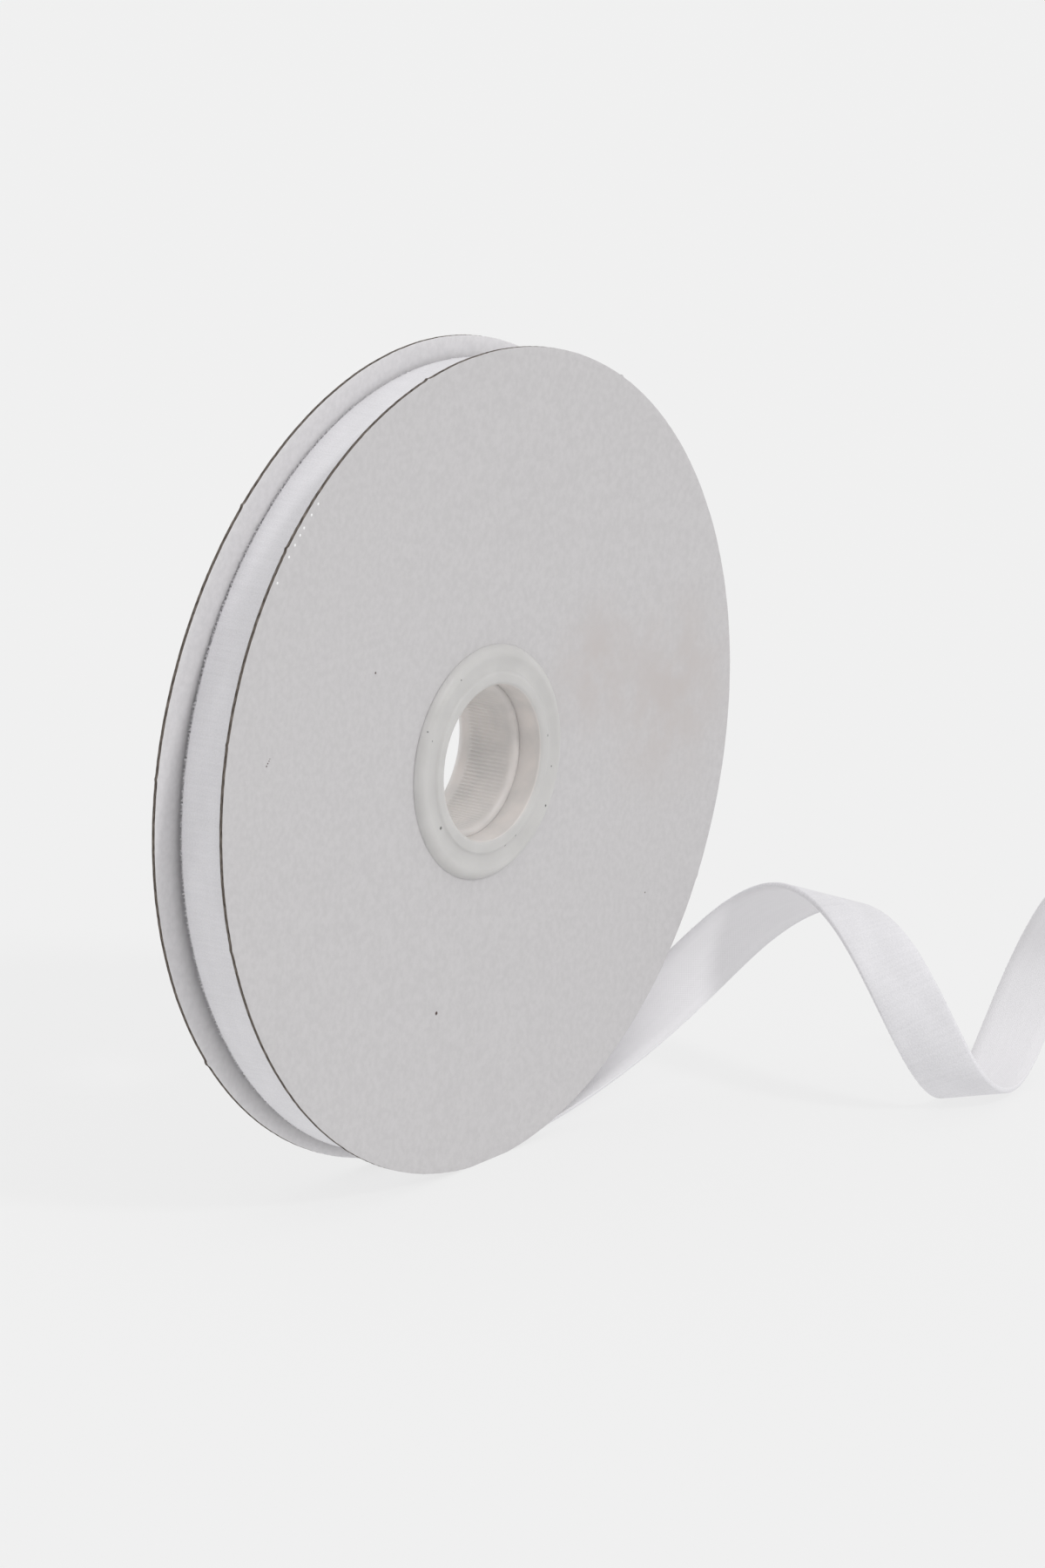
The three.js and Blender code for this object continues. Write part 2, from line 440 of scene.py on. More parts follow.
class Effects:
    """The shader node groups that the finishes share. Each is built once."""

    def __init__(self) -> None:
        """Builds every group."""
        self.fibres = self._fibres()
        self.spot = self._spot()
        self.flecks = self._flecks()
        self.pile = self._pile()
        self.weave = self._weave()

    @staticmethod
    def _fibres() -> bpy.types.NodeTree:
        """Paper pulp: soft clouds, and fibres that are short noise stretched two ways.

        Returns:
            The group. Its Height is 0.8 of the clouds plus the fibres of both ways.
        """
        shader, given, leave = new_group(
            "Fibres",
            {"Vector": VECTOR, "Cloud Scale": FLOAT, "Fibre Scale": FLOAT},
            {"Clouds": FLOAT, "Height": FLOAT},
        )
        clouds = shader.noise(given["Vector"], given["Cloud Scale"], detail=4.0, roughness=0.62)
        lanes = []
        for factors in ((1.0, 1.0, 3.2), (3.2, 1.0, 1.0)):
            lane = shader.stretched(given["Vector"], factors)
            lanes.append(shader.noise(lane, given["Fibre Scale"], detail=3.0, distortion=1.2))
        height = shader.math("MULTIPLY_ADD", clouds, 0.8, shader.math("ADD", *lanes))
        shader.fill(leave, {"Clouds": clouds, "Height": height})
        return shader.tree

    @staticmethod
    def _spot() -> bpy.types.NodeTree:
        """A soft-edged spot: 1 inside Radius of Centre, and 0 past Radius + Softness.

        Depth along Y is left out, so that a spot lands on a face that isn't flat.

        Returns:
            The group.
        """
        shader, given, leave = new_group(
            "Spot",
            {"Vector": VECTOR, "Centre": VECTOR, "Radius": FLOAT, "Softness": FLOAT},
            {"Mask": FLOAT},
        )
        flat = [shader.stretched(given[end], (1.0, 0.0, 1.0)) for end in ("Vector", "Centre")]
        away = shader.vector_math("DISTANCE", *flat).outputs["Value"]
        edge = shader.math("ADD", given["Radius"], given["Softness"])
        shader.fill(leave, {"Mask": shader.ramp(away, given["Radius"], edge, 1.0, 0.0)})
        return shader.tree

    @staticmethod
    def _flecks() -> bpy.types.NodeTree:
        """Scattered flecks: the cells of a Voronoi pattern whose random number is under Share.

        Returns:
            The group. Its Mask falls from 1 at a fleck's middle to 0 at Size, in cells.
        """
        shader, given, leave = new_group(
            "Flecks",
            {"Vector": VECTOR, "Scale": FLOAT, "Share": FLOAT, "Size": FLOAT},
            {"Mask": FLOAT},
        )
        cells = shader.add("TexVoronoi", {"Vector": given["Vector"], "Scale": given["Scale"]})
        number = shader.add("SeparateColor", {"Color": cells.outputs["Color"]}).outputs[0]
        chosen = shader.math("LESS_THAN", number, given["Share"])
        fall = {"From Min": 0.0, "From Max": given["Size"], "To Min": 1.0, "To Max": 0.0}
        near = shader.add("MapRange", {"Value": cells.outputs["Distance"], **fall}).outputs[0]
        shader.fill(leave, {"Mask": shader.math("MULTIPLY", chosen, near)})
        return shader.tree

    @staticmethod
    def _pile() -> bpy.types.NodeTree:
        """Cut pile: fine tufts, faint rows across the ribbon, and patches leaning another way.

        Vector is the ribbon's uv in metres. Tufts are noise at Tuft Scale, rows are noise
        stretched far across the ribbon, and Lean is slow noise stretched along it.

        Returns:
            The group.
        """
        shader, given, leave = new_group(
            "Pile",
            {"Vector": VECTOR, "Tuft Scale": FLOAT, "Row Scale": FLOAT},
            {"Tufts": FLOAT, "Rows": FLOAT, "Lean": FLOAT},
        )
        across = shader.stretched(given["Vector"], (1.0, 0.05, 1.0))
        along = shader.stretched(given["Vector"], (0.35, 1.0, 1.0))
        patterns = {
            "Tufts": shader.noise(given["Vector"], given["Tuft Scale"], detail=2.0),
            "Rows": shader.noise(across, given["Row Scale"], detail=3.0, roughness=0.7),
            "Lean": shader.noise(along, 260.0, detail=3.0),
        }
        shader.fill(leave, patterns)
        return shader.tree

    @staticmethod
    def _weave() -> bpy.types.NodeTree:
        """A close plain weave: sine ribs both ways, every second one raised, loosened by noise.

        With u and v in metres and n threads for each metre, the height is a half of
        1 + sin(pi n u) sin(pi n v), so that warp and weft take turns on top.

        Returns:
            The group.
        """
        shader, given, leave = new_group(
            "Weave", {"Vector": VECTOR, "Threads": FLOAT}, {"Height": FLOAT, "Slubs": FLOAT}
        )
        loose = shader.math("MULTIPLY", shader.noise(given["Vector"], 900.0, detail=1.0), 0.9)
        parts = shader.add("SeparateXYZ", {"Vector": given["Vector"]})
        waves = []
        for axis in ("X", "Y"):
            threads = shader.math("MULTIPLY", parts.outputs[axis], given["Threads"])
            turns = shader.math("ADD", shader.math("MULTIPLY", threads, math.pi), loose)
            waves.append(shader.math("SINE", turns))
        height = shader.math("MULTIPLY_ADD", shader.math("MULTIPLY", *waves), 0.5, 0.5)
        slubs = shader.noise(shader.stretched(given["Vector"], (0.08, 1.0, 1.0)), 1800.0, detail=2.0)
        shader.fill(leave, {"Height": height, "Slubs": slubs})
        return shader.tree


# Finishes


def grey(level: float) -> Colour:
    """A neutral colour."""
    return (level, level, level, 1.0)


def scaled(colour: Colour, factor: float) -> Colour:
    """A colour made lighter or darker by a factor."""
    return tuple(channel * factor for channel in colour[:3]) + (1.0,)


def new_finish(name: str) -> tuple[bpy.types.Material, Shader, bpy.types.Node]:
    """Starts a material.

    Args:
        name: its name.

    Returns:
        The material, its shader and its Principled node.
    """
    material = bpy.data.materials.new(name)
    material.use_nodes = True
    return material, Shader(material.node_tree), material.node_tree.nodes["Principled BSDF"]


@dataclass(frozen=True)
class Mark:
    """A small mark on a face: its place from the spool's axis, x across and z up, and its radius."""

    x: float
    z: float
    radius: float

    def mask(
        self, shader: Shader, effects: Effects, middle: Vector, solid: float, soft: float
    ) -> Socket:
        """The mark's mask in a material.

        Args:
            shader: the material's shader.
            effects: the shared node groups.
            middle: the middle of the marked face, on the spool's axis.
            solid: share of the radius that is fully marked.
            soft: share of the radius over which the mark fades past that.

        Returns:
            1 on the mark and 0 off it.
        """
        sockets = {
            "Vector": shader.place(),
            "Centre": middle + Vector((self.x, 0.0, self.z)),
            "Radius": self.radius * solid,
            "Softness": self.radius * soft,
        }
        return shader.group(effects.spot, sockets).outputs["Mask"]


@dataclass(frozen=True)
class PaperFinish:
    """White mottled paper over greyboard, with a warm stain, a few specks and painted glints, which are
    white highlight spots.
    """

    name: str
    colour: Colour = (0.568, 0.555, 0.561, 1.0)
    stain_colour: Colour = (0.540, 0.506, 0.497, 1.0)
    speck_colour: Colour = (0.075, 0.045, 0.040, 1.0)
    # glint_colour and glints are painted highlights: white spots standing in for light caught on the
    # face.
    glint_colour: Colour = (0.92, 0.92, 0.92, 1.0)
    stains: tuple[Mark, ...] = ()
    specks: tuple[Mark, ...] = ()
    glints: tuple[Mark, ...] = ()
    cloud_scale: float = 950.0
    cloud_depth: float = 0.042
    fibre_scale: float = 2600.0
    patch_scale: float = 160.0
    fleck_scale: float = 190.0
    fleck_share: float = 0.03
    fleck_size: float = 0.045
    fleck_strength: float = 0.45
    roughness: Span = (0.62, 0.78)
    specular: float = 0.25
    height: float = 0.03 * MM
    height_strength: float = 0.5

    def build(self, effects: Effects, middle: Vector) -> bpy.types.Material:
        """Builds the material.

        Args:
            effects: the shared node groups.
            middle: the middle of the marked face, on the spool's axis.

        Returns:
            The material.
        """
        material, shader, principled = new_finish(self.name)
        place = {"Vector": shader.place()}
        pulp = {"Cloud Scale": self.cloud_scale, "Fibre Scale": self.fibre_scale}
        fibres = shader.group(effects.fibres, place | pulp)
        clouds = fibres.outputs["Clouds"]
        colour = shader.shaded(shader.ramp(clouds, 0.28, 0.72, 0.0, 1.0), self.colour, self.cloud_depth)
        uneven = shader.noise(place["Vector"], self.patch_scale, detail=3.0)
        patches = shader.ramp(uneven, 0.3, 0.62, 0.25, 1.0)
        for stain in self.stains:
            mask = stain.mask(shader, effects, middle, solid=0.0, soft=1.0)
            colour = shader.blend(shader.math("MULTIPLY", mask, patches), colour, self.stain_colour)
        # Specks are real dark dirt; glints are painted highlights, white spots put in place of light.
        for marks, mark_colour in ((self.specks, self.speck_colour), (self.glints, self.glint_colour)):
            for mark in marks:
                mask = mark.mask(shader, effects, middle, solid=0.6, soft=0.5)
                colour = shader.blend(mask, colour, mark_colour)
        cells = {"Scale": self.fleck_scale, "Share": self.fleck_share, "Size": self.fleck_size}
        flecks = shader.group(effects.flecks, place | cells).outputs["Mask"]
        faint = shader.math("MULTIPLY", flecks, self.fleck_strength)
        shader.fill(
            principled,
            {
                "Base Color": shader.blend(faint, colour, self.speck_colour),
                "Roughness": shader.ramp(clouds, 0.2, 0.8, *self.roughness),
                "Specular IOR Level": self.specular,
                "Normal": shader.bump(fibres.outputs["Height"], self.height, self.height_strength),
            },
        )
        return material


@dataclass(frozen=True)
class CutEdgeFinish:
    """The die-cut edge of greyboard: brown-grey pulp in layers that follow the rim."""

    name: str = "greyboard_edge"
    dark: Colour = (0.045, 0.036, 0.031, 1.0)
    light: Colour = (0.235, 0.205, 0.180, 1.0)
    layer_stretch: float = 0.16
    cloud_scale: float = 5200.0
    fibre_scale: float = 9000.0
    roughness: float = 0.9
    specular: float = 0.1
    height: float = 0.06 * MM
    height_strength: float = 0.8

    def build(self, effects: Effects) -> bpy.types.Material:
        """Builds the material from the edge's own uv: u along the rim, v across it.

        Args:
            effects: the shared node groups.

        Returns:
            The material.
        """
        material, shader, principled = new_finish(self.name)
        layered = shader.stretched(shader.uv(), (self.layer_stretch, 1.0, 1.0))
        sockets = {"Vector": layered, "Cloud Scale": self.cloud_scale, "Fibre Scale": self.fibre_scale}
        fibres = shader.group(effects.fibres, sockets)
        shade = shader.ramp(fibres.outputs["Clouds"], 0.3, 0.72, 0.0, 1.0)
        shader.fill(
            principled,
            {
                "Base Color": shader.blend(shade, self.dark, self.light),
                "Roughness": self.roughness,
                "Specular IOR Level": self.specular,
                "Normal": shader.bump(fibres.outputs["Height"], self.height, self.height_strength),
            },
        )
        return material


@dataclass(frozen=True)
class PlasticFinish:
    """Milky translucent moulding, greyish, with flow clouds, dirt specks and a painted glow in the
    bore: a lighter, brownish colour standing in for light through the translucent wall and the brown
    board behind it.
    """

    name: str
    colour: Colour = (0.568, 0.559, 0.550, 1.0)
    bore_glow_colour: Colour = (0.745, 0.702, 0.677, 1.0)
    speck_colour: Colour = (0.05, 0.05, 0.05, 1.0)
    specks: tuple[Mark, ...] = ()
    speck_strength: float = 0.85
    bore_edge: Span = (12.02 * MM, 12.14 * MM)
    bore_depth: Span = (0.2 * MM, 2.2 * MM)
    cloud_scale: float = 190.0
    cloud_shades: Span = (0.965, 1.03)
    grain_scale: float = 1300.0
    roughness: Span = (0.34, 0.46)
    specular: float = 0.4
    subsurface: float = 0.5
    subsurface_reach: float = 0.8 * MM
    height: float = 0.02 * MM
    height_strength: float = 0.35

    def painted_bore_glow(self, shader: Shader, clouds: Socket, disc_middle: Vector) -> Socket:
        """The share of the painted glow in the bore: patchy, full beside the disc, and none outside the
        bore.

        The radius is the square root of x^2 + z^2 from the spool's axis.

        Args:
            shader: the material's shader.
            clouds: the plastic's flow clouds.
            disc_middle: the middle of the disc, on the spool's axis.

        Returns:
            The share, from 0 to 1.
        """
        offset = shader.vector_math("SUBTRACT", shader.place(), disc_middle).outputs[0]
        parts = shader.add("SeparateXYZ", {"Vector": offset}).outputs
        squares = [shader.math("POWER", parts[axis], 2.0) for axis in ("X", "Z")]
        radius = shader.math("SQRT", shader.math("ADD", *squares))
        inside = shader.ramp(radius, *self.bore_edge, 1.0, 0.0)
        near_disc = shader.ramp(shader.math("ABSOLUTE", parts["Y"]), *self.bore_depth, 1.0, 0.7)
        patchy = shader.ramp(clouds, 0.35, 0.65, 0.55, 1.0)
        return shader.math("MULTIPLY", shader.math("MULTIPLY", inside, near_disc), patchy)

    def build(self, effects: Effects, ring_middle: Vector, disc_middle: Vector) -> bpy.types.Material:
        """Builds the material.

        Args:
            effects: the shared node groups.
            ring_middle: the middle of the flange's face, on the spool's axis.
            disc_middle: the middle of the disc that the half passes through, there too.

        Returns:
            The material.
        """
        material, shader, principled = new_finish(self.name)
        place = shader.place()
        clouds = shader.noise(place, self.cloud_scale, detail=4.0)
        shades = [scaled(self.colour, factor) for factor in self.cloud_shades]
        colour = shader.blend(shader.ramp(clouds, 0.3, 0.7, 0.0, 1.0), *shades)
        # Painted glow: the bore is lighter and browner, standing in for light coming through the
        # translucent plastic and the board seen through it.
        bore_glow_share = self.painted_bore_glow(shader, clouds, disc_middle)
        colour = shader.blend(bore_glow_share, colour, self.bore_glow_colour)
        for speck in self.specks:
            mask = speck.mask(shader, effects, ring_middle, solid=0.5, soft=1.0)
            faint = shader.math("MULTIPLY", mask, self.speck_strength)
            colour = shader.blend(faint, colour, self.speck_colour)
        grain = shader.noise(place, self.grain_scale, detail=2.0)
        shader.fill(
            principled,
            {
                "Base Color": colour,
                "Roughness": shader.ramp(clouds, 0.25, 0.75, *self.roughness),
                "Subsurface Weight": self.subsurface,
                "Subsurface Radius": (1.0, 1.0, 0.95),
                "Subsurface Scale": self.subsurface_reach,
                "Specular IOR Level": self.specular,
                "Normal": shader.bump(grain, self.height, self.height_strength),
            },
        )
        return material


@dataclass(frozen=True)
class PileFinish:
    """White velvet pile: soft, matte, lighter where it is seen edge-on."""

    name: str = "velvet_pile"
    colour: Colour = (0.765, 0.757, 0.780, 1.0)
    depth: float = 0.065
    tuft_scale: float = 3800.0
    tuft_share: float = 0.5
    row_scale: float = 1500.0
    row_share: float = 0.35
    lean_share: float = 0.4
    roughness: float = 0.95
    specular: float = 0.1
    sheen: float = 0.25
    sheen_roughness: float = 0.45
    height: float = 0.12 * MM
    height_strength: float = 0.55

    def build(self, effects: Effects) -> bpy.types.Material:
        """Builds the material from the ribbon's uv, in metres.

        Its shade is a half plus each pattern's share times the pattern from -0.5 to 0.5.

        Args:
            effects: the shared node groups.

        Returns:
            The material.
        """
        material, shader, principled = new_finish(self.name)
        sockets = {"Vector": shader.uv(), "Tuft Scale": self.tuft_scale, "Row Scale": self.row_scale}
        pile = shader.group(effects.pile, sockets).outputs
        shares = {"Tufts": self.tuft_share, "Rows": self.row_share, "Lean": self.lean_share}
        tufts, rows, lean = (
            shader.math("MULTIPLY", shader.ramp(pile[pattern], 0.3, 0.7, -0.5, 0.5), share)
            for pattern, share in shares.items()
        )
        total = shader.math("ADD", shader.math("ADD", tufts, rows), lean)
        shade = shader.math("ADD", total, 0.5, clamp=True)
        height = shader.math("MULTIPLY_ADD", pile["Rows"], 0.6, pile["Tufts"])
        shader.fill(
            principled,
            {
                "Base Color": shader.shaded(shade, self.colour, self.depth),
                "Roughness": self.roughness,
                "Specular IOR Level": self.specular,
                "Sheen Weight": self.sheen,
                "Sheen Roughness": self.sheen_roughness,
                "Normal": shader.bump(height, self.height, self.height_strength),
            },
        )
        return material


@dataclass(frozen=True)
class BackFinish:
    """The woven back of velvet ribbon: smooth, close, with a soft satin look."""

    name: str = "woven_back"
    colour: Colour = (0.795, 0.785, 0.803, 1.0)
    threads_per_metre: float = 5200.0
    depth: float = 0.018
    roughness: Span = (0.5, 0.62)
    specular: float = 0.3
    sheen: float = 0.1
    height: float = 0.02 * MM
    height_strength: float = 0.6

    def build(self, effects: Effects) -> bpy.types.Material:
        """Builds the material from the ribbon's uv, in metres.

        Args:
            effects: the shared node groups.

        Returns:
            The material.
        """
        material, shader, principled = new_finish(self.name)
        sockets = {"Vector": shader.uv(), "Threads": self.threads_per_metre}
        weave = shader.group(effects.weave, sockets).outputs
        thick = shader.math("MULTIPLY", shader.ramp(weave["Slubs"], 0.3, 0.7, 0.0, 1.0), 0.5)
        shade = shader.math("MULTIPLY_ADD", weave["Height"], 0.5, thick)
        shader.fill(
            principled,
            {
                "Base Color": shader.shaded(shade, self.colour, self.depth),
                "Roughness": shader.ramp(weave["Slubs"], 0.3, 0.7, *self.roughness),
                "Specular IOR Level": self.specular,
                "Sheen Weight": self.sheen,
                "Normal": shader.bump(weave["Height"], self.height, self.height_strength),
            },
        )
        return material


# The spool


@dataclass(frozen=True)
class SpoolPlaces:
    """The spool's places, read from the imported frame."""

    axis_height: float
    disc_radius: float
    disc_thickness: float
    front_disc_y: float
    back_disc_y: float
    winding_y: float
    winding_radius: float
    winding_sag: float
    front_ring_y: float
    back_ring_y: float

    @classmethod
    def from_frame(cls) -> "SpoolPlaces":
        """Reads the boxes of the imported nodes.

        The flange is centred on the axis, so its box gives the axis's height, and the disc's
        box gives its radius from its top down to the axis.

        Returns:
            The places.
        """
        flange_low, flange_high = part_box("hub_front")
        _, rear_flange_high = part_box("hub_back")
        front_low, front_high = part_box("board_front")
        rear_low, rear_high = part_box("board_back")
        roll_low, roll_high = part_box("winding")
        axis_height = (flange_low.z + flange_high.z) / 2
        return cls(
            axis_height=axis_height,
            disc_radius=front_high.z - axis_height,
            disc_thickness=front_high.y - front_low.y,
            front_disc_y=(front_low.y + front_high.y) / 2,
            back_disc_y=(rear_low.y + rear_high.y) / 2,
            winding_y=(roll_low.y + roll_high.y) / 2,
            winding_radius=(roll_high.x - roll_low.x) / 2,
            winding_sag=axis_height - (roll_low.z + roll_high.z) / 2,
            front_ring_y=flange_low.y,
            back_ring_y=rear_flange_high.y,
        )

    @property
    def middle_y(self) -> float:
        """Middle of the spool along Y."""
        return (self.front_disc_y + self.back_disc_y) / 2

    def on_axis(self, y: float) -> Vector:
        """The point of the spool's axis at a place along Y."""
        return Vector((0.0, y, self.axis_height))


@dataclass(frozen=True)
class Warp:
    """A disc's bend out of its plane, as two waves round the rim that grow with radius squared.

    The shift along +Y at angle a and radius r is
    (cosine cos 2a + sine sin 2a) (r / rim radius)^2.
    """

    cosine: float
    sine: float

    def shift(self, angle: np.ndarray, radius: np.ndarray, rim_radius: float) -> np.ndarray:
        """The shift along +Y at each angle and radius."""
        waves = self.cosine * np.cos(2 * angle) + self.sine * np.sin(2 * angle)
        return waves * (radius / rim_radius) ** 2


@dataclass(frozen=True)
class Burr:
    """A nick or a lifted fibre on a disc's cut edge: its angle, its arc and how far it stands out."""

    angle_deg: float
    arc: float
    rise: float


@dataclass
class CardDisc:
    """A die-cut card disc: two paper faces, a brown-grey cut edge and a hole for the hub.

    The rings of its faces stand closer together towards the rim, by the power ring_power. The
    cut is rough by short fibres, and by longer ripples that are ripple_share as deep.
    """

    name: str
    node: str
    middle_y: float
    warp: Warp
    places: SpoolPlaces
    burrs: tuple[Burr, ...] = ()
    seed: int = 1
    steps: int = 900
    face_rings: int = 18
    ring_power: float = 1.35
    core_points: int = 6
    hole_points: int = 3
    corner_radius: float = 0.07 * MM
    hole_radius: float = 13.4 * MM
    rim_roughness: float = 0.022 * MM
    fibre_length: float = 0.55 * MM
    ripple_length: float = 2.3 * MM
    ripple_share: float = 0.6

    def rim(self, angle: np.ndarray) -> np.ndarray:
        """The cut edge's radius at each angle.

        It is the disc's radius, or the axis's height over the cosine where the foot is flat,
        less a little for the rough cut, plus each burr as a bell curve.

        Args:
            angle: angles from the lowest point, in radians.

        Returns:
            Radii.
        """
        rng = np.random.default_rng(self.seed)
        along = angle * self.places.disc_radius
        fibres = smooth_noise(along, self.fibre_length, rng)
        rough = fibres + self.ripple_share * smooth_noise(along, self.ripple_length, rng)
        radius = self.places.disc_radius - self.rim_roughness * (1 + self.ripple_share + rough)
        for burr in self.burrs:
            away = (angle - math.radians(burr.angle_deg) + math.pi) % TURN - math.pi
            radius = radius + burr.rise * np.exp(-((away * self.places.disc_radius / burr.arc) ** 2))
        foot = self.places.axis_height / np.maximum(np.cos(angle), 1e-6)
        return np.where(np.cos(angle) > 0, np.minimum(radius, foot), radius)

    def profile(self) -> tuple[np.ndarray, np.ndarray, np.ndarray, np.ndarray]:
        """The closed outline of the disc's section.

        Returns:
            For each point its share of the way from hole to rim, its inset from there, its
            depth from the disc's middle, and the material up to the next point: 0 for paper,
            1 for the cut edge.
        """
        half, corner = self.places.disc_thickness / 2, self.corner_radius
        rings, core_points, hole_points = self.face_rings, self.core_points, self.hole_points
        share = 1 - (1 - np.linspace(0, 1, rings)) ** self.ring_power
        at_rim = corner * (share == 1)
        bend = np.radians([30.0, 60.0])
        inset = corner * (1 - np.sin(bend))
        depth = half - corner * (1 - np.cos(bend))
        core = np.linspace(-half + corner, half - corner, core_points)
        hole = np.linspace(half, -half, hole_points + 2)[1:-1]
        outline = joined(
            (
                (share, at_rim, np.full(rings, -half)),
                (np.ones(len(bend)), inset, -depth),
                (np.ones(core_points), np.zeros(core_points), core),
                (np.ones(len(bend)), inset[::-1], depth[::-1]),
                (share[::-1], at_rim[::-1], np.full(rings, half)),
                (np.zeros(hole_points), np.zeros(hole_points), hole),
            )
        )
        kinds = np.repeat([0, 1, 0, 1], [rings + 1, core_points + 1, rings + 1, hole_points + 1])
        return *outline, kinds

    def build(self, paper: bpy.types.Material, edge: bpy.types.Material) -> bpy.types.Object:
        """Builds the disc as its section carried round the axis.

        Args:
            paper: finish of the faces.
            edge: finish of the cut edge.

        Returns:
            The piece.
        """
        share, inset, depth, kinds = self.profile()
        angle = np.linspace(0, TURN, self.steps, endpoint=False)[:, None]
        rim = self.rim(angle[:, 0])[:, None]
        radius = self.hole_radius + (rim - self.hole_radius) * share - inset
        y = self.middle_y + depth + self.warp.shift(angle, radius, self.places.disc_radius)
        travel = travelled(radius[0], depth)
        grid = Grid(
            points=around(radius, angle, y, self.places.axis_height),
            u=np.linspace(0, TURN * self.places.disc_radius, self.steps + 1)[:, None],
            v=np.append(travel, travel[-1] + self.places.disc_thickness / 4),
            materials=kinds,
            close_rows=True,
        )
        return make_piece(self.name, self.node, grid, [paper, edge])


# Radius and height over the flange's underside of each ring of a hub half's face, in millimetres
HUB_PROFILE = (
    ("rim foot", 18.0, -0.34),
    ("rim", 17.84, 0.02),
    ("bead side", 17.5, 0.5),
    ("bead outer crown", 17.0, 0.84),
    ("bead inner crown", 16.4, 0.94),
    ("bead foot", 15.6, 0.76),
    ("groove", 14.8, 0.68),
    ("ring foot", 14.1, 0.78),
    ("ring outer edge", 13.6, 1.08),
    ("ring inner edge", 12.5, 1.1),
    ("mouth", 12.0, 0.8),
)


@dataclass
class HubHalf:
    """Half a hub: a flange outside one disc, and a barrel that runs in through the hole.

    The barrel is smooth for smooth_lip behind the mouth. Then the ribs rise over rib_rise, and
    lose the share rib_fade of their depth by the far end, which is rounded inside by end_round.
    """

    name: str
    node: str
    facing: Facing
    places: SpoolPlaces
    barrel_outer: float
    barrel_inner: float
    barrel_end: float
    mouth_radius: float = 12 * MM
    underside: float = 6.9 * MM
    lip: float = 0.25 * MM
    ribs: int = 0
    rib_depth: float = 0.22 * MM
    rib_rise: float = 0.25 * MM
    rib_fade: float = 0.75
    smooth_lip: float = 1.5 * MM
    chamfer: float = 0.04 * MM
    end_round: float = 0.25 * MM
    steps: int = 256
    face_steps: int = 5
    wall_points: int = 40
    round_points: int = 5
    flat_points: int = 4
    outer_points: int = 10

    def profile(self) -> tuple[np.ndarray, np.ndarray, np.ndarray]:
        """The closed outline of the half's section.

        Returns:
            Radii, distances from the spool's middle plane towards the half's own side, and
            the share of the rib depth that each point takes.
        """
        rings = np.array([[radius, height] for _, radius, height in HUB_PROFILE]) * MM
        face = round_through(rings, self.face_steps) + (0, self.underside)
        inner_start = face[-1, 1] - (self.mouth_radius - self.barrel_inner) - self.lip
        wall = np.linspace(inner_start, self.barrel_end + self.end_round, self.wall_points)
        turn = np.linspace(0, math.pi / 2, self.round_points + 1)[1:]
        round_in = self.barrel_inner + self.end_round * (1 - np.cos(turn))
        round_off = self.barrel_end + self.end_round * (1 - np.sin(turn))
        flat = self.barrel_outer - self.chamfer * np.arange(self.flat_points, 0, -1)
        outer_wall = np.linspace(self.barrel_end + self.chamfer, self.underside, self.outer_points)
        radius, out = joined(
            (
                (np.full_like(outer_wall, self.barrel_outer), outer_wall),
                (face[:, 0], face[:, 1]),
                (np.full_like(wall, self.barrel_inner), wall),
                (round_in, round_off),
                (flat, np.full_like(flat, self.barrel_end)),
            )
        )
        past_lip = inner_start - wall - self.smooth_lip
        fade = 1 - self.rib_fade * ease(past_lip / (wall[0] - wall[-1] - self.smooth_lip))
        rib = np.zeros(len(radius))
        first = len(outer_wall) + len(face)
        rib[first : first + len(wall)] = ease(past_lip / self.rib_rise) * fade
        rib[first + len(wall) - 1] = 0.0
        return radius, out, rib

    def build(self, plastic: bpy.types.Material) -> bpy.types.Object:
        """Builds the half as its section turned about the axis, with ribs inside its barrel.

        A rib's height at angle a is the rib depth times (1 + cos(ribs a))^2 / 4, taken off
        the inner radius.

        Args:
            plastic: its finish.

        Returns:
            The piece.
        """
        radius, out, rib = self.profile()
        angle = np.linspace(0, TURN, self.steps, endpoint=False)[:, None]
        rib_depth = self.rib_depth if self.ribs else 0.0
        ridge = rib_depth * ((1 + np.cos(self.ribs * angle)) / 2) ** 2
        y = self.places.middle_y + self.facing.value * out
        travel = travelled(radius, out)
        grid = Grid(
            points=around(radius - ridge * rib, angle, y, self.places.axis_height),
            u=np.linspace(0, TURN * self.mouth_radius, self.steps + 1)[:, None],
            v=np.append(travel, travel[-1] + self.chamfer),
            materials=np.zeros(len(radius), dtype=int),
            close_rows=True,
            flip=self.facing is Facing.FRONT,
        )
        return make_piece(self.name, self.node, grid, [plastic])


# The ribbon

# Where the wound ribbon passes into the loose end, on a circle about the sagging centre
LEAVE_ANGLE_DEG = -9.5
LEAVE_RADIUS = 60.2 * MM


@dataclass
class RibbonPath:
    """Stations along the middle of a ribbon.

    At each are its distance along the ribbon, its point, the straight line across the ribbon
    there, how far that line slants along the ribbon, and the way from the pile to the back.
    """

    distance: np.ndarray
    point: np.ndarray
    ruling: np.ndarray
    slant: np.ndarray
    inward: np.ndarray

    def at(self, across: np.ndarray, lift: np.ndarray) -> np.ndarray:
        """Points beside each station.

        Args:
            across: distance out from the middle along the ruling, stations by points.
            lift: distance towards the pile side, stations by points.

        Returns:
            Stations by points by 3.
        """
        beside = self.point[:, None] + self.ruling[:, None] * across[..., None]
        return beside - self.inward[:, None] * lift[..., None]

    def last(self, length: float) -> "RibbonPath":
        """The path's last stretch, of this length."""
        kept = self.distance > self.distance[-1] - length
        parts = (self.distance, self.point, self.ruling, self.slant, self.inward)
        return RibbonPath(*(part[kept] for part in parts))


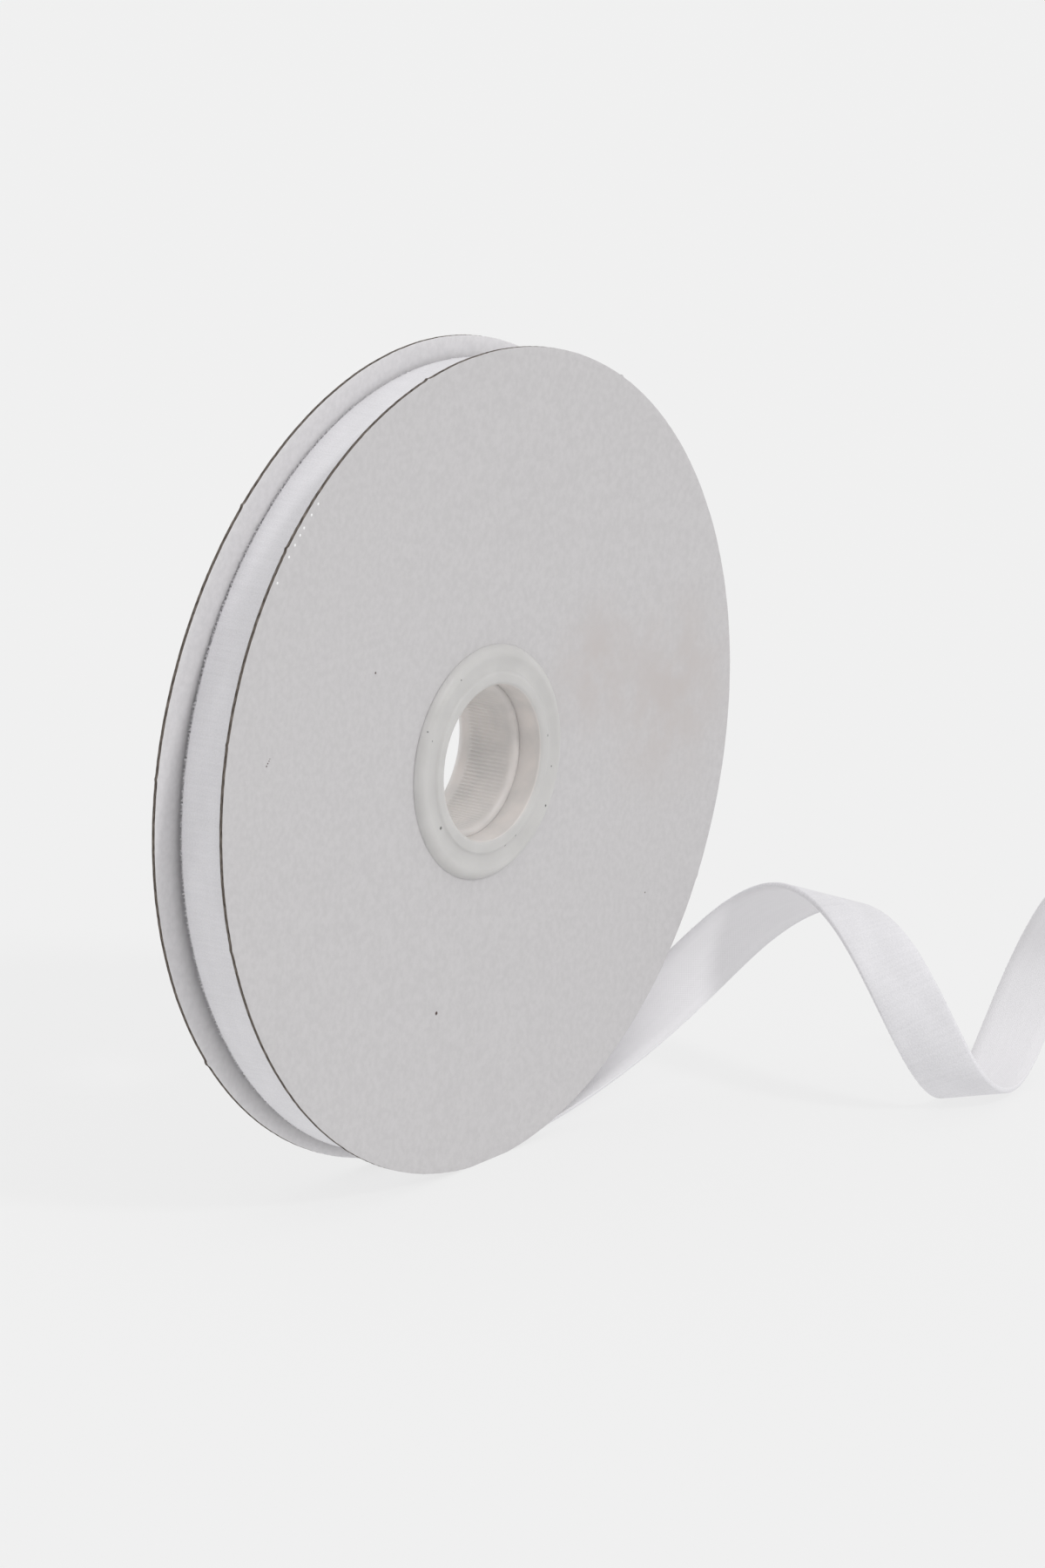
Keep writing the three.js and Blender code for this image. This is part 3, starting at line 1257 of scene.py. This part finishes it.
@dataclass(frozen=True)
class RibbonSection:
    """The section of velvet ribbon: a flat woven back, thin selvedges and pile with round shoulders."""

    width: float = 10 * MM
    back_lift: float = -0.42 * MM
    pile_lift: float = 0.42 * MM
    back_inset: float = 0.1 * MM
    selvedge: float = 0.18 * MM
    shoulder: float = 0.35 * MM
    pile_points: int = 9
    back_points: int = 7

    @property
    def weave_top(self) -> float:
        """Lift of the top of the selvedge, where the pile begins."""
        return self.back_lift + self.selvedge

    def on_shoulder(self, rise: np.ndarray) -> tuple[np.ndarray, np.ndarray]:
        """Points of the pile's shoulder, which is a quarter of an ellipse.

        Args:
            rise: angles on it, from 0 at the selvedge to a quarter turn at the top, in radians.

        Returns:
            Distances across, and lifts.
        """
        across = self.width / 2 - self.shoulder * (1 - np.cos(rise))
        return across, self.weave_top + (self.pile_lift - self.weave_top) * np.sin(rise)

    def outline(self) -> tuple[np.ndarray, np.ndarray, np.ndarray]:
        """The closed outline, from one edge over the back and home over the pile.

        Returns:
            Distance across, lift, and material up to each next point: 0 pile, 1 back.
        """
        back_half, pile_half = self.width / 2 - self.back_inset, self.width / 2 - self.shoulder
        back = np.linspace(-back_half, back_half, self.back_points)
        pile = np.linspace(pile_half, -pile_half, self.pile_points)
        edge = np.array([self.width / 2]), np.array([self.weave_top])
        shoulder_across, shoulder_lift = self.on_shoulder(np.radians([12, 38, 64]))
        across, lift = joined(
            (
                (back, np.full_like(back, self.back_lift)),
                edge,
                (shoulder_across, shoulder_lift),
                (pile, np.full_like(pile, self.pile_lift)),
                (-shoulder_across[::-1], shoulder_lift[::-1]),
                (-edge[0], edge[1]),
            )
        )
        kinds = np.zeros(len(across), dtype=int)
        kinds[: self.back_points] = 1
        kinds[-1] = 1
        return across, lift, kinds


def ribbon_grid(path: RibbonPath, section: RibbonSection, start_u: float) -> Grid:
    """Carries the ribbon's section along a path.

    The uv of a point is where it lay on the flat ribbon, in metres: the distance along plus
    the slant times the distance across, and the distance across.

    Args:
        path: stations along the ribbon.
        section: its section.
        start_u: u at the first station.

    Returns:
        The surface.
    """
    across, lift, kinds = section.outline()
    shape = (len(path.distance), len(across))
    v = np.append(across, across[0])
    return Grid(
        points=path.at(np.broadcast_to(across, shape), np.broadcast_to(lift, shape)),
        u=start_u + path.distance[:, None] + path.slant[:, None] * v,
        v=v,
        materials=kinds,
        cap_material=1,
        flip=True,
    )


@dataclass
class WoundRibbon:
    """The ribbon wound on the hub: one strip in a spiral, slack and a little uneven outside.

    At angle a the outermost turn's outer face has the radius
    mean + aside sin a + low cos a + oval cosine cos 2a - oval sine sin 2a. Each turn in from
    the end lies a pitch further in, and the waves fade towards the core. The turns stand nearer
    the back disc, wander a little and follow the front disc's warp in part. The last stretch
    passes by the smooth step to a circle about the sagging centre, and meets the loose end.
    lean_angle and wander_angle are the angles back from the end, in radians, over which the
    lean and the wander reach their full size.
    """

    places: SpoolPlaces
    section: RibbonSection
    disc_warp: Warp
    name: str = "wound_ribbon"
    node: str = "winding"
    turns: int = 45
    pitch: float = 1.0 * MM
    mean_radius: float = 59.7 * MM
    aside: float = 0.3 * MM
    low: float = 0.2 * MM
    oval_cosine: float = 0.6 * MM
    oval_sine: float = 0.75 * MM
    lift_angle_deg: float = 50.0
    follow_disc: float = 0.5
    towards_back: float = 0.45 * MM
    lean_angle: float = 1.2
    wander: float = 0.16 * MM
    wander_length: float = 90 * MM
    wander_angle: float = 2.0
    coarse_step: float = 3.0 * MM
    fine_turns: float = 2.2
    fine_step: float = 1.0 * MM
    samples: int = 40000
    seed: int = 7

    def turn_radius(self, angle: np.ndarray, end: float) -> np.ndarray:
        """The radius of the strip's middle at each angle.

        Args:
            angle: angles, counted on from turn to turn up to the end.
            end: angle at the end.

        Returns:
            Radii from the spool's axis.
        """
        waves = (
            self.aside * np.sin(angle)
            + self.low * np.cos(angle)
            + self.oval_cosine * np.cos(2 * angle)
            - self.oval_sine * np.sin(2 * angle)
        )
        inward = self.pitch * (end - angle) / TURN
        share = 1 - inward / (self.pitch * self.turns)
        return self.mean_radius - self.section.pile_lift - inward + waves * share

    def path(self) -> RibbonPath:
        """Works out the stations, closer together on the outer turns.

        Returns:
            The path, from the hub to the loose end.
        """
        end = math.radians(LEAVE_ANGLE_DEG)
        rough = np.linspace(end - TURN * self.turns, end, self.samples)
        radius = self.turn_radius(rough, end)
        walked = np.append(0.0, np.cumsum((radius[1:] + radius[:-1]) / 2 * np.diff(rough)))
        fine_length = self.fine_turns * TURN * self.mean_radius
        coarse = np.arange(0, walked[-1] - fine_length, self.coarse_step)
        fine = np.linspace(walked[-1] - fine_length, walked[-1], int(fine_length / self.fine_step) + 1)
        distance = np.concatenate([coarse, fine])
        angle = np.interp(distance, walked, rough)
        back = end - angle
        radius = self.turn_radius(angle, end)
        rng = np.random.default_rng(self.seed)
        wander = self.wander * smooth_noise(distance, self.wander_length, rng)
        leaned = self.follow_disc * self.disc_warp.shift(angle, radius, self.places.disc_radius)
        y = self.places.winding_y + wander * ease(back / self.wander_angle)
        y = y + (leaned + self.towards_back) * ease(back / self.lean_angle)
        lift = ease(1 - back / math.radians(self.lift_angle_deg))[:, None]
        on_roll = around(radius, angle, y, self.places.axis_height)
        lifted = around(LEAVE_RADIUS, angle, y, self.places.axis_height - self.places.winding_sag)
        point = on_roll * (1 - lift) + lifted * lift
        along = unit(np.gradient(point, distance, axis=0))
        across = np.broadcast_to((0.0, -1.0, 0.0), point.shape)
        inward = unit(np.cross(across, along))
        return RibbonPath(distance, point, across, np.zeros(len(distance)), inward)


# The loose end's curl in degrees for each centimetre, and slant, for each 20 mm of ribbon
CURL_ROWS = (
    ("under the roll", 6.4, 0.0),
    ("leaving the discs", 6.8, 0.8),
    ("past the discs", 4.4, 1.38),
    ("first rise", 8.4, 1.26),
    ("nearing the first crest", 36.4, 0.4),
    ("over the crest", 25.8, 0.9),
    ("fall to the front", 24.8, 0.76),
    ("nearing the ground", 39.8, 0.3),
    ("second rise", 35.6, 0.6),
    ("nearing the second crest", 23.8, 0.26),
    ("plain cut end", 24.0, 0.6),
)


@dataclass
class LooseEnd:
    """The loose end of the ribbon: a strip that bends but doesn't stretch, curling as it goes.

    Each step turns the strip about curl (slant along + across), so that the straight lines
    across it, across + slant along, stay straight and the strip could be rolled out flat.
    """

    places: SpoolPlaces
    name: str = "loose_end"
    node: str = "ribbon_tail"
    row_spacing: float = 20 * MM
    step: float = 0.5 * MM

    def path(self) -> RibbonPath:
        """Follows the table of curls from the roll to the cut end.

        Returns:
            The path.
        """
        rows = np.arange(len(CURL_ROWS)) * self.row_spacing
        curl = np.radians([row[1] for row in CURL_ROWS]) / (10 * MM)
        lean = [row[2] for row in CURL_ROWS]
        distance = np.linspace(0, rows[-1], int(round(rows[-1] / self.step)) + 1)
        half_way = (distance[1:] + distance[:-1]) / 2
        bends, leans = np.interp(half_way, rows, curl), np.interp(half_way, rows, lean)
        angle = math.radians(LEAVE_ANGLE_DEG)
        centre = self.places.axis_height - self.places.winding_sag
        here = around(LEAVE_RADIUS, angle, self.places.winding_y, centre)
        along = np.array([math.cos(angle), 0.0, math.sin(angle)])
        across = np.array([0.0, -1.0, 0.0])
        stations = [(here, along, across)]
        for bend, tilt in zip(bends, leans):
            turn = bend * (tilt * along + across)
            size = float(np.linalg.norm(turn))
            axis = turn / size
            here = here + turned(along, axis, size * self.step / 2) * self.step
            along, across = (turned(way, axis, size * self.step) for way in (along, across))
            stations.append((here, along, across))
        point, along, across = (np.array(column) for column in zip(*stations))
        slant = np.interp(distance, rows, lean)
        ruling = across + along * slant[:, None]
        return RibbonPath(distance, point, ruling, slant, np.cross(across, along))


@dataclass
class PileFringe:
    """Tufts of pile that stand out past the ribbon's edges, each a thin four-sided spike.

    sit_deg is the part of the pile's shoulder that they grow from, root_depth how far their
    feet are sunk across and down, droop the share of their place's angle at which they rise,
    and sideways how much they lean along the ribbon.
    """

    name: str
    path: RibbonPath
    section: RibbonSection
    spacing: float
    length: Span
    width: float = 0.09 * MM
    sit_deg: Span = (5.0, 50.0)
    root_depth: Span = (0.05 * MM, 0.03 * MM)
    droop: float = 0.7
    sideways: float = 0.28
    tuft_pitch: float = 0.65 * MM
    tuft_share: float = 0.7
    tuft_drift: float = 0.7
    tuft_drift_length: float = 2 * MM
    seed: int = 3

    def spikes(self, edge: int, rng: np.random.Generator) -> np.ndarray:
        """The spikes along one edge.

        Each starts on the pile's round shoulder and points outwards, up and a little to one
        side, all by random amounts. Their length follows |sin(pi s / tuft pitch)| along the
        ribbon, so that they stand in tufts, one for each weft thread.

        Args:
            edge: 1 or -1, for the two edges.
            rng: source of the random amounts.

        Returns:
            Spikes by 4 points by 3: three corners of the foot, and the tip.
        """
        distance = self.path.distance
        count = int((distance[-1] - distance[0]) / self.spacing)
        places = distance[0] + (np.arange(count) + rng.uniform(0, 1, count)) * self.spacing
        places = np.clip(places, distance[0], distance[-1])
        point, ruling, inward = (
            np.stack([np.interp(places, distance, column) for column in values.T], axis=1)
            for values in (self.path.point, self.path.ruling, self.path.inward)
        )
        inward = unit(inward)
        along = unit(np.cross(inward, ruling))
        outward = unit(np.cross(along, inward))
        outward *= np.sign((outward * ruling).sum(1, keepdims=True)) * edge
        sit = rng.uniform(*np.radians(self.sit_deg), count)[:, None]
        reach, lift = self.section.on_shoulder(sit)
        reach, lift = reach - self.root_depth[0], lift - self.root_depth[1]
        foot = point + ruling * reach * edge - inward * lift
        drift = self.tuft_drift * smooth_noise(places, self.tuft_drift_length, rng)
        comb = np.abs(np.sin(math.pi * places / self.tuft_pitch + drift))
        grow = (rng.uniform(*self.length, count) * (1 - self.tuft_share * (1 - comb)))[:, None]
        aside = rng.normal(0, self.sideways, count)[:, None]
        rise = sit * self.droop
        way = unit(outward * np.cos(rise) - inward * np.sin(rise) + along * aside)
        turn = rng.uniform(0, TURN, count)[:, None]
        side = unit(np.cross(way, along))
        corners = [
            foot + (along * np.cos(turn + third) + side * np.sin(turn + third)) * self.width
            for third in (0, TURN / 3, 2 * TURN / 3)
        ]
        return np.stack([*corners, foot + way * grow], axis=1)

    def build(self, pile: bpy.types.Material) -> bpy.types.Object:
        """Builds the fringe of both edges.

        Args:
            pile: its finish.

        Returns:
            The piece.
        """
        rng = np.random.default_rng(self.seed)
        spikes = np.concatenate([self.spikes(1, rng), self.spikes(-1, rng)])
        faces = np.array([[0, 2, 1], [0, 1, 3], [1, 2, 3], [2, 0, 3]])
        count = len(spikes) * len(faces)
        piece = mesh_object(
            self.name,
            spikes.reshape(-1, 3),
            loops=(np.arange(len(spikes))[:, None, None] * 4 + faces).ravel(),
            sizes=np.full(count, 3),
            corner_uv=np.zeros((count * 3, 2)),
            kinds=np.zeros(count),
            finishes=[pile],
        )
        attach(piece, BODY)
        return piece


# The studio


def direction(turn_deg: float, rise_deg: float) -> Vector:
    """The direction at an angle round from straight in front, positive towards +X, and a rise."""
    turn, rise = math.radians(turn_deg), math.radians(rise_deg)
    return Vector((math.sin(turn) * math.cos(rise), -math.cos(turn) * math.cos(rise), math.sin(rise)))


@dataclass
class Studio:
    """A plain pale floor, soft light all round, one weak key light and the photo's camera.

    The camera looks at the middle of the front disc's face, shifted right and up. Its focal
    length and the picture's height are in the photograph's pixels.
    """

    places: SpoolPlaces
    backdrop: float = 0.863
    horizon_light: float = 0.70
    zenith_light: float = 0.975
    floor_albedo: float = 0.15
    floor_unevenness: float = 0.01
    floor_glow: float = 0.718
    floor_size: float = 12.0
    key_turn_deg: float = 0.0
    key_elevation_deg: float = 43.0
    key_angle_deg: float = 8.0
    key_strength: float = 0.675
    camera_azimuth_deg: float = -52.96
    camera_elevation_deg: float = 15.46
    camera_distance: float = 1.3971
    camera_shift_right: float = 5.418 * MM
    camera_shift_up: float = -3.364 * MM
    focal_pixels: float = 10665.0
    picture_height: float = 1800.0
    sensor: float = 36.0

    def floor(self) -> None:
        """Lays the floor: a large sheet that glows a little, so that it matches the backdrop."""
        half = self.floor_size / 2
        corners = np.array([[-half, -half, 0], [half, -half, 0], [half, half, 0], [-half, half, 0]])
        material, shader, principled = new_finish("pale_floor")
        cloud = shader.noise(shader.place(), 3.0, detail=2.0)
        shader.fill(
            principled,
            {
                "Base Color": shader.shaded(cloud, grey(self.floor_albedo), self.floor_unevenness),
                "Roughness": 1.0,
                "Specular IOR Level": 0.0,
                "Emission Color": grey(1.0),
                "Emission Strength": self.floor_glow,
            },
        )
        floor = mesh_object(
            "floor",
            corners,
            loops=np.arange(4),
            sizes=np.array([4]),
            corner_uv=np.zeros((4, 2)),
            kinds=np.zeros(1),
            finishes=[material],
        )

    def world(self) -> None:
        """Sets the sky: plain to the camera, and as a light a glow that grows towards the top.

        Its light is horizon + (zenith - horizon) times the height of the direction, from 0 at
        the horizon to 1 straight above.
        """
        world = bpy.data.worlds.new("studio")
        world.use_nodes = True
        shader = Shader(world.node_tree)
        seen = shader.add("LightPath").outputs["Is Camera Ray"]
        way = shader.add("TexCoord").outputs["Generated"]
        height = shader.add("SeparateXYZ", {"Vector": way}).outputs["Z"]
        sockets = {"Value": height, "To Min": self.horizon_light, "To Max": self.zenith_light}
        glow = shader.add("MapRange", sockets).outputs[0]
        sky = {"Color": shader.blend(seen, glow, grey(self.backdrop))}
        shader.fill(world.node_tree.nodes["Background"], sky)
        bpy.context.scene.world = world

    def key_light(self) -> None:
        """Adds one distant light, as wide as its angle, which softens its shadows."""
        light = bpy.data.lights.new("key", "SUN")
        light.energy = self.key_strength
        light.angle = math.radians(self.key_angle_deg)
        lamp = bpy.data.objects.new("key", light)
        towards = direction(self.key_turn_deg, self.key_elevation_deg)
        turn = towards.to_track_quat("Z", "Y").to_matrix().to_4x4()
        lamp.matrix_world = Matrix.Translation(towards) @ turn
        bpy.context.scene.collection.objects.link(lamp)

    def camera(self) -> None:
        """Places the camera where the photograph was taken from."""
        back = direction(self.camera_azimuth_deg, self.camera_elevation_deg)
        right = (-back).cross(Vector((0, 0, 1))).normalized()
        up = right.cross(-back)
        data = bpy.data.cameras.new("photo_camera")
        data.sensor_width = self.sensor
        data.lens = self.sensor * self.focal_pixels / self.picture_height
        camera = bpy.data.objects.new("photo_camera", data)
        place = self.places.on_axis(self.places.front_disc_y - self.places.disc_thickness / 2)
        place += right * self.camera_shift_right + up * self.camera_shift_up
        place += back * self.camera_distance
        turn = Matrix((right, up, back)).transposed().to_4x4()
        camera.matrix_world = Matrix.Translation(place) @ turn
        bpy.context.scene.collection.objects.link(camera)
        bpy.context.scene.camera = camera

    def build(self) -> None:
        """Builds the floor, the lights and the camera."""
        bpy.context.scene.view_settings.view_transform = "Standard"
        self.floor()
        self.world()
        self.key_light()
        self.camera()


# Marks on the roll: places in millimetres from the spool's axis, x across and z up, and radii


def marks(*rows: tuple[float, float, float]) -> tuple[Mark, ...]:
    """Marks from rows of x, z and radius in millimetres."""
    return tuple(Mark(x * MM, z * MM, radius * MM) for x, z, radius in rows)


HUB_SPECKS = marks(
    (-7.8, 14.5, 0.13),
    (13.6, 1.4, 0.2),
    (-12.6, -7.4, 0.24),
    (13.2, -9.6, 0.17),
    (5.5, -12.6, 0.17),
    (3.1, -13.6, 0.15),
    (14.9, -3.8, 0.12),
    (-15.5, 8.1, 0.1),
    (-14.9, 6.6, 0.12),
)
FACE_STAINS = marks((47.0, 1.0, 22.0), (27.0, 9.0, 15.0))
FACE_SPECKS = marks(
    (-12.8, -36.4, 0.33),
    (-26.8, 19.4, 0.2),
    (41.0, -30.0, 0.14),
    (-52.5, 10.7, 0.16),
    (-52.2, 11.05, 0.14),
    (-51.9, 11.35, 0.12),
    (-51.7, 11.65, 0.1),
)

# Painted glints: white highlight spots just inside the rim, on one circle
PAINTED_GLINT_RADIUS = 62.0
PAINTED_GLINT_SIZE = 0.24
PAINTED_GLINT_ANGLES = np.radians([-140.1, -138.2, -136.0, -134.8, -133.2, -131.3, -127.3])
FACE_GLINTS = marks(
    *((PAINTED_GLINT_RADIUS * math.sin(a), -PAINTED_GLINT_RADIUS * math.cos(a), PAINTED_GLINT_SIZE) for a in PAINTED_GLINT_ANGLES)
)


def burrs(*rows: tuple[float, float, float]) -> tuple[Burr, ...]:
    """Burrs from rows of angle in degrees, and arc and rise in millimetres."""
    return tuple(Burr(angle_deg, arc * MM, rise * MM) for angle_deg, arc, rise in rows)


FRONT_BURRS = burrs(
    (-167.2, 0.35, 0.22),
    (-132.0, 0.3, 0.2),
    (-76.0, 0.5, 0.16),
    (-104.3, 0.3, 0.14),
    (61.0, 0.4, 0.16),
    (148.0, 0.3, 0.18),
)
BACK_BURRS = burrs(
    (-137.2, 0.3, 0.2),
    (-53.4, 0.45, 0.24),
    (-98.0, 0.25, 0.14),
    (95.0, 0.4, 0.18),
)


# The whole roll


@dataclass(frozen=True)
class RollSizes:
    """The sizes that tell the two hub halves and the two fringes apart."""

    sleeve_outer: float = 13.1 * MM
    sleeve_inner: float = 12.0 * MM
    sleeve_end: float = -6.6 * MM
    tube_outer: float = 12.01 * MM
    tube_inner: float = 10.8 * MM
    tube_end: float = -3.8 * MM
    tube_round: float = 1.0 * MM
    tube_ribs: int = 110
    tube_steps: int = 660
    fringed_turns: float = 1.6
    wound_tufts: Span = (0.3 * MM, 0.7 * MM)
    wound_tuft_spacing: float = 0.05 * MM
    loose_tufts: Span = (0.08 * MM, 0.2 * MM)
    loose_tuft_spacing: float = 0.09 * MM


class RibbonRoll:
    """The roll of ribbon: two discs, a hub in two halves, the wound ribbon and its loose end."""

    def __init__(self) -> None:
        """Reads the frame's places and sets up what the sub-assemblies share."""
        self.places = SpoolPlaces.from_frame()
        self.sizes = RollSizes()
        self.effects = Effects()
        self.front_warp = Warp(-0.277 * MM, 0.567 * MM)
        self.back_warp = Warp(-0.365 * MM, -0.630 * MM)
        self.section = RibbonSection()

    def build_discs(self) -> None:
        """Builds both card discs."""
        places = self.places
        edge = CutEdgeFinish().build(self.effects)
        front_paper = PaperFinish(
            "paper_front", stains=FACE_STAINS, specks=FACE_SPECKS, glints=FACE_GLINTS
        )
        # The back disc's paper is painted lighter than the front's: painted light standing in for the
        # light that fills the gap between the discs.
        back_paper_painted_lighter = PaperFinish("paper_back", colour=(0.765, 0.753, 0.763, 1.0))
        outer_face = places.on_axis(places.front_disc_y - places.disc_thickness / 2)
        inner_face = places.on_axis(places.back_disc_y)
        CardDisc(
            "card_front", "board_front", places.front_disc_y, self.front_warp, places, FRONT_BURRS
        ).build(front_paper.build(self.effects, outer_face), edge)
        CardDisc(
            "card_back", "board_back", places.back_disc_y, self.back_warp, places, BACK_BURRS, seed=2
        ).build(back_paper_painted_lighter.build(self.effects, inner_face), edge)

    def build_hub(self) -> None:
        """Builds both halves of the hub."""
        places, sizes = self.places, self.sizes
        front_disc, back_disc = places.on_axis(places.front_disc_y), places.on_axis(places.back_disc_y)
        front_ring, back_ring = places.on_axis(places.front_ring_y), places.on_axis(places.back_ring_y)
        front_plastic = PlasticFinish("milky_front", specks=HUB_SPECKS)
        back_plastic = PlasticFinish("milky_back")
        front = HubHalf(
            "hub_front_half",
            "hub_front",
            Facing.FRONT,
            places,
            barrel_outer=sizes.sleeve_outer,
            barrel_inner=sizes.sleeve_inner,
            barrel_end=sizes.sleeve_end,
        )
        back = HubHalf(
            "hub_back_half",
            "hub_back",
            Facing.BACK,
            places,
            barrel_outer=sizes.tube_outer,
            barrel_inner=sizes.tube_inner,
            barrel_end=sizes.tube_end,
            end_round=sizes.tube_round,
            ribs=sizes.tube_ribs,
            steps=sizes.tube_steps,
        )
        front.build(front_plastic.build(self.effects, front_ring, front_disc))
        back.build(back_plastic.build(self.effects, back_ring, back_disc))

    def build_ribbon(self) -> None:
        """Builds the wound ribbon, the loose end and the fringes of pile on their edges."""
        sizes, section = self.sizes, self.section
        pile = PileFinish().build(self.effects)
        # The fringe's pile is painted lighter than the ribbon's pile: painted light standing in for
        # light on the thin tufts against the shaded disc.
        fringe_pile_painted_lighter = PileFinish("velvet_fringe_painted_lighter", colour=(0.90, 0.89, 0.915, 1.0)).build(self.effects)
        back = BackFinish().build(self.effects)
        wound = WoundRibbon(self.places, section, self.front_warp)
        loose = LooseEnd(self.places)
        wound_path, loose_path = wound.path(), loose.path()
        wound_grid = ribbon_grid(wound_path, section, -wound_path.distance[-1])
        loose_grid = ribbon_grid(loose_path, section, 0.0)
        wound_piece, loose_piece = (
            make_piece(strip.name, strip.node, grid, [pile, back])
            for strip, grid in ((wound, wound_grid), (loose, loose_grid))
        )
        outer_path = wound_path.last(sizes.fringed_turns * TURN * self.places.winding_radius)
        wound_fringe = PileFringe(
            "wound_fringe", outer_path, section, sizes.wound_tuft_spacing, sizes.wound_tufts
        ).build(fringe_pile_painted_lighter)
        loose_fringe = PileFringe(
            "loose_fringe", loose_path, section, sizes.loose_tuft_spacing, sizes.loose_tufts, seed=5
        ).build(fringe_pile_painted_lighter)


def main() -> None:
    logging.basicConfig(level=logging.INFO, format="%(message)s")
    roll = RibbonRoll()
    Studio(roll.places).build()
    roll.build_discs()
    roll.build_hub()
    roll.build_ribbon()


if __name__ == "__main__":
    main()
